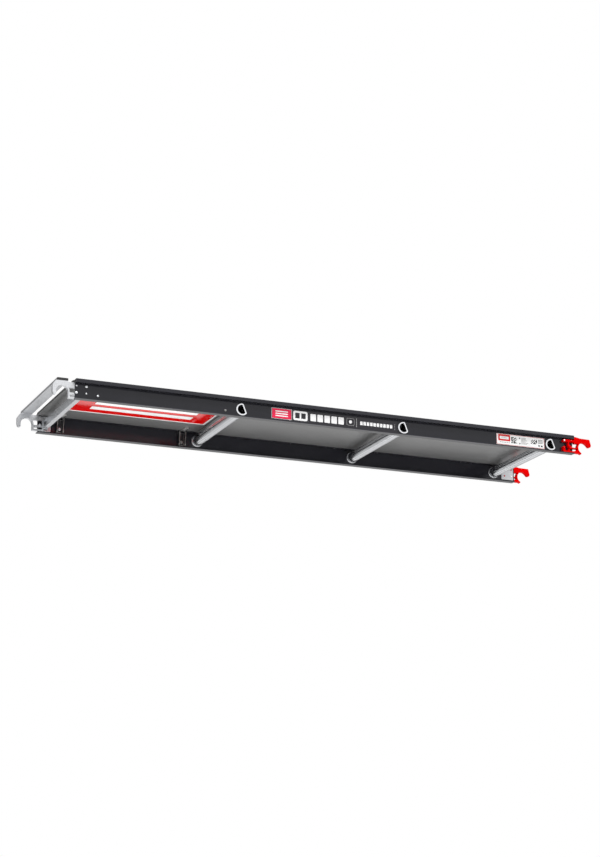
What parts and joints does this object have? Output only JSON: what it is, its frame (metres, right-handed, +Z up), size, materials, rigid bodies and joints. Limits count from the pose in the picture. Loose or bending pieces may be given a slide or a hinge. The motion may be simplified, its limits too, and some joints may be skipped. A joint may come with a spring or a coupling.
{
  "type": "scaffold platform with hatch",
  "caption": "Scaffold work platform with black side beams, D-section rungs, a hinged hatch, fixed hooks at one end and red claws at the other.",
  "frame": {"origin": "middle of the length and width, on the plane under the side beams", "axes": "+X along the length from the fixed hooks to the claws, +Y across the width, +Z up out of the deck"},
  "size_m": [2.5318, 0.59, 0.087],
  "materials": {
    "black_beam": "glossy black coat",
    "extruded_aluminium": "satin",
    "galvanised": "satin",
    "red_coat": "gloss",
    "deck_board": "satin film-faced",
    "black_plastic": "matte",
    "rubber": "matte",
    "rivet_metal": "satin",
    "red_film": "gloss",
    "white_film": "gloss"
  },
  "bodies": {
    "platform": {"side_beam_near": "black_beam", "side_beam_far": "black_beam", "beam_end_plugs": "black_plastic", "rung_1": "extruded_aluminium", "rung_2": "extruded_aluminium", "rung_3": "extruded_aluminium", "fixed_hook_near": "extruded_aluminium", "fixed_hook_far": "extruded_aluminium", "hook_rivets_near": "rivet_metal", "hook_rivets_far": "rivet_metal", "cross_member": "extruded_aluminium", "bridge_strip": "extruded_aluminium", "bridge_cap_near": "black_plastic", "bridge_cap_far": "black_plastic", "bridge_screws": "rivet_metal", "claw_hook_near": "red_coat", "claw_hook_far": "red_coat", "claw_plate_near": "extruded_aluminium", "claw_plate_far": "extruded_aluminium", "claw_rivets_near": "rivet_metal", "claw_rivets_far": "rivet_metal", "deck_end_board": "deck_board", "deck_main_board": "deck_board", "deck_edge_strip": "black_plastic", "deck_screws": "rivet_metal", "hinge_bracket_left": "galvanised", "hinge_bracket_right": "galvanised", "rest_bracket_left": "galvanised", "rest_bracket_right": "galvanised", "hinge_pin_left": "galvanised", "hinge_pin_right": "galvanised", "bracket_bolts": "galvanised", "hatch_rest_pads": "rubber", "web_film": "white_film", "rating_label": "white_film"},
    "hatch": {"hatch_panel": "deck_board", "leaf_rivets": "rivet_metal", "hinge_leaf_left": "galvanised", "hinge_leaf_right": "galvanised", "hatch_sticker": "red_film"}
  },
  "joints": [
    {"name": "hatch_hinge", "type": "hinge", "parent": "platform", "child": "hatch", "pos_m": [-0.791, 0.256, 0.079], "axis": [-1, 0, 0], "range_deg": [0, 105]}
  ]
}
